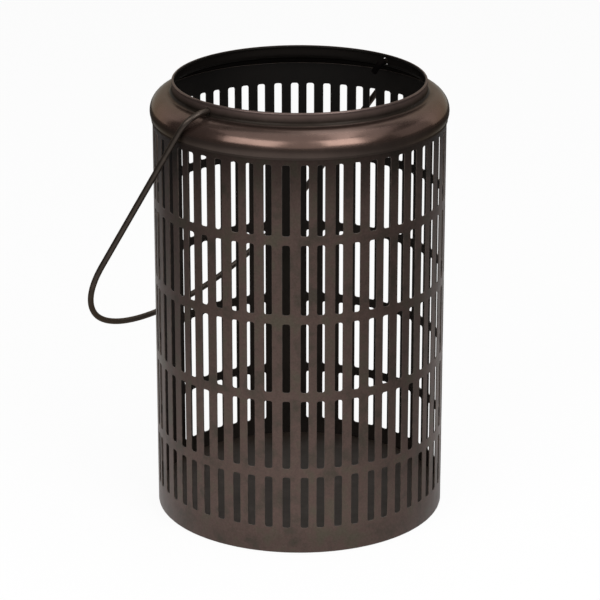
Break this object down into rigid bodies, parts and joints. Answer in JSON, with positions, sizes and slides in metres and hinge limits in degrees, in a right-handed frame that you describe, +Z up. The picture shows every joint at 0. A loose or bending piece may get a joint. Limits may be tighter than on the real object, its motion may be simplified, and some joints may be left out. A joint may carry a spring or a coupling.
{
  "type": "punched tin candle lantern",
  "caption": "Cylindrical candle lantern of slot-punched sheet metal with a rounded collar, an open top, a plain floor inside and a swinging wire bail.",
  "frame": {"origin": "centre of the ring that the lantern stands on, at table height", "axes": "+Z up along the lantern's axis, -Y towards the front seen in the picture, +X to its right; the bail hangs to -X and +Y"},
  "size_m": [0.1911, 0.1901, 0.2334],
  "materials": {
    "body_paint": "dark bronze-brown satin paint on punched steel sheet",
    "collar_finish": "glossier oil-rubbed bronze with copper tints on the bead",
    "floor_paint": "dark bronze-brown satin paint",
    "bail_wire": "dark bronze-brown paint on round wire"
  },
  "bodies": {
    "lantern": {"body_shell": "body_paint", "collar": "collar_finish", "floor_plate": "floor_paint"},
    "bail": {"bail_handle": "bail_wire"}
  },
  "joints": [
    {"name": "bail_swing", "type": "hinge", "parent": "lantern", "child": "bail", "pos_m": [0, 0, 0.22934], "axis": [0.6934, 0.7206, 0], "range_deg": [0, 285.6]}
  ]
}
